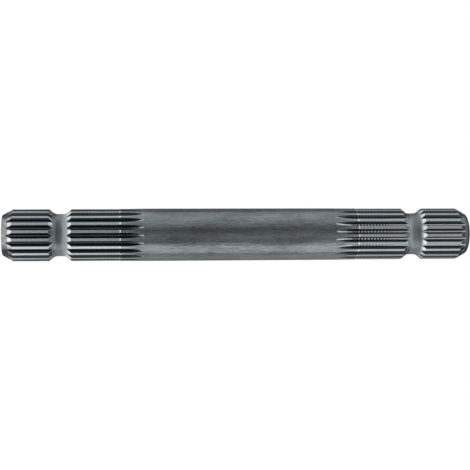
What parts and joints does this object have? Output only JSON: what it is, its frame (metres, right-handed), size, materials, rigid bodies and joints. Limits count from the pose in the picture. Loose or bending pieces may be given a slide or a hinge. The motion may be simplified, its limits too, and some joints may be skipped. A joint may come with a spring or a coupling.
{
  "type": "splined shaft",
  "caption": "Double-ended steel drive shaft with an involute spline and a lock groove at each end, to join two splined couplings or hubs.",
  "frame": {"origin": "centre of the bottom end face, on the shaft's axis", "axes": "+Z along the shaft's axis to the other end, +X through the middle of a tooth of the bottom spline. The shaft stands on its bottom end face."},
  "size_m": [0.045, 0.045, 0.402],
  "materials": {
    "shaft_steel": "bare turned and hobbed steel, fine tool marks, lightly oiled"
  },
  "bodies": {
    "root": {"splined_shaft": "shaft_steel"}
  },
  "joints": []
}
